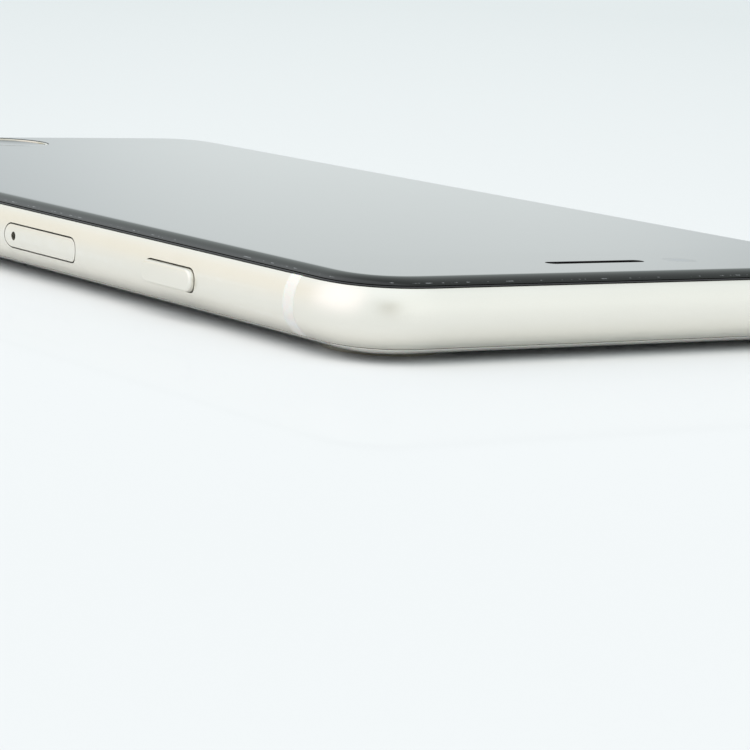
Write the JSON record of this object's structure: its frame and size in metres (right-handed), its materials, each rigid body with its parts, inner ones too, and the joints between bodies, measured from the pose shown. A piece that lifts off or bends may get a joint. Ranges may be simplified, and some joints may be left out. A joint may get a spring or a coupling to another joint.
{
  "type": "smartphone",
  "caption": "Slim slab smartphone with rounded corners, curved-edge glass front and back, metal side frame, side controls, SIM tray, home button and one raised rear camera.",
  "frame": {"origin": "under the middle of the phone, level with the rear camera ring's face, which is its lowest point", "axes": "+X to the side with the lock button and SIM tray, +Y to the earpiece end, +Z out of the display"},
  "size_m": [0.0682, 0.1384, 0.0079],
  "materials": {
    "anodised_frame": "bead blasted, pale champagne anodised",
    "antenna_plastic": "satin, off-white",
    "front_glass_black": "glass, black underprint, polished",
    "rear_glass_cream": "glass with a cream underprint, polished",
    "clear_glass": "polished",
    "black_plastic": "satin",
    "polished_steel": "polished",
    "sheet_steel": "rolled",
    "circuit_board": "solder mask",
    "battery_wrap": "satin film",
    "copper_coil": "enamelled copper",
    "seal_rubber": "matt",
    "acoustic_mesh": "fine black mesh"
  },
  "bodies": {
    "phone": {"frame_top": "anodised_frame", "frame_bottom": "anodised_frame", "frame_right": "anodised_frame", "frame_left": "anodised_frame", "antenna_split_top_right": "antenna_plastic", "antenna_split_top_left": "antenna_plastic", "antenna_split_bottom_right": "antenna_plastic", "antenna_split_bottom_left": "antenna_plastic", "rear_glass": "rear_glass_cream", "chassis_plate": "sheet_steel", "charging_coil": "copper_coil", "camera_ring": "polished_steel", "camera_lens_cover": "clear_glass", "rear_camera_body": "black_plastic", "flash_window": "clear_glass", "flash_module": "black_plastic", "rear_microphone_mesh": "acoustic_mesh", "front_glass": "front_glass_black", "display_frame": "black_plastic", "display_gasket": "seal_rubber", "display_panel": "black_plastic", "display_shield_plate": "sheet_steel", "earpiece_mesh": "acoustic_mesh", "earpiece_speaker": "black_plastic", "front_camera": "black_plastic", "proximity_sensor": "black_plastic", "home_button_ring": "polished_steel", "home_button": "front_glass_black", "home_button_bracket": "sheet_steel", "side_contact": "sheet_steel", "volume_up_contact": "sheet_steel", "volume_down_contact": "sheet_steel", "ring_switch_body": "black_plastic", "sim_reader": "sheet_steel", "sim_eject_pivot": "polished_steel", "charging_port": "sheet_steel", "charging_port_contacts": "copper_coil", "bottom_screw_left": "polished_steel", "bottom_screw_right": "polished_steel", "microphone_mesh": "acoustic_mesh", "speaker_mesh": "acoustic_mesh", "battery": "battery_wrap", "battery_connector": "black_plastic", "logic_board": "circuit_board", "board_shield_upper": "sheet_steel", "board_shield_lower": "sheet_steel", "loudspeaker": "black_plastic", "lower_board": "circuit_board", "haptic_motor_case": "sheet_steel"},
    "lock_button": {"side_button": "anodised_frame"},
    "volume_up": {"volume_up_button": "anodised_frame"},
    "volume_down": {"volume_down_button": "anodised_frame"},
    "ring_slider": {"ring_switch": "anodised_frame"},
    "sim_drawer": {"sim_tray": "anodised_frame", "sim_card": "rear_glass_cream", "sim_tray_seal": "seal_rubber"},
    "eject_rod": {"sim_eject_rod": "polished_steel"},
    "eject_lever": {"sim_eject_lever": "polished_steel"},
    "focus_lens": {"rear_camera_lens": "black_plastic"},
    "haptic_weight": {"haptic_motor_mass": "polished_steel"}
  },
  "joints": [
    {"name": "lock_button_press", "type": "slide", "parent": "phone", "child": "lock_button", "axis": [-1, 0, 0], "range_m": [0, 0.00035], "stiffness_N_per_m": 3000, "springref_m": -0.0002},
    {"name": "volume_up_press", "type": "slide", "parent": "phone", "child": "volume_up", "axis": [1, 0, 0], "range_m": [0, 0.00035], "stiffness_N_per_m": 3000, "springref_m": -0.0002},
    {"name": "volume_down_press", "type": "slide", "parent": "phone", "child": "volume_down", "axis": [1, 0, 0], "range_m": [0, 0.00035], "stiffness_N_per_m": 3000, "springref_m": -0.0002},
    {"name": "ring_switch_slide", "type": "slide", "parent": "phone", "child": "ring_slider", "axis": [0, 0, -1], "range_m": [0, 0.0012]},
    {"name": "sim_tray_pull", "type": "slide", "parent": "phone", "child": "sim_drawer", "axis": [1, 0, 0], "range_m": [0, 0.02]},
    {"name": "sim_eject_push", "type": "slide", "parent": "phone", "child": "eject_rod", "axis": [-1, 0, 0], "range_m": [0, 0.0015]},
    {"name": "sim_eject_turn", "type": "hinge", "parent": "phone", "child": "eject_lever", "pos_m": [0.0116, 0.0092, 0.00425], "axis": [0, 0, -1], "range_deg": [0, 21]},
    {"name": "focus_slide", "type": "slide", "parent": "phone", "child": "focus_lens", "axis": [0, 0, -1], "range_m": [0, 0.0002], "stiffness_N_per_m": 60, "springref_m": -0.0001},
    {"name": "haptic_slide", "type": "slide", "parent": "phone", "child": "haptic_weight", "axis": [1, 0, 0], "range_m": [-0.0008, 0.0008], "stiffness_N_per_m": 2000}
  ],
  "couplings": [
    {"joint": "sim_eject_turn", "follows": "sim_eject_push", "rad_per_m": 238.1}
  ]
}
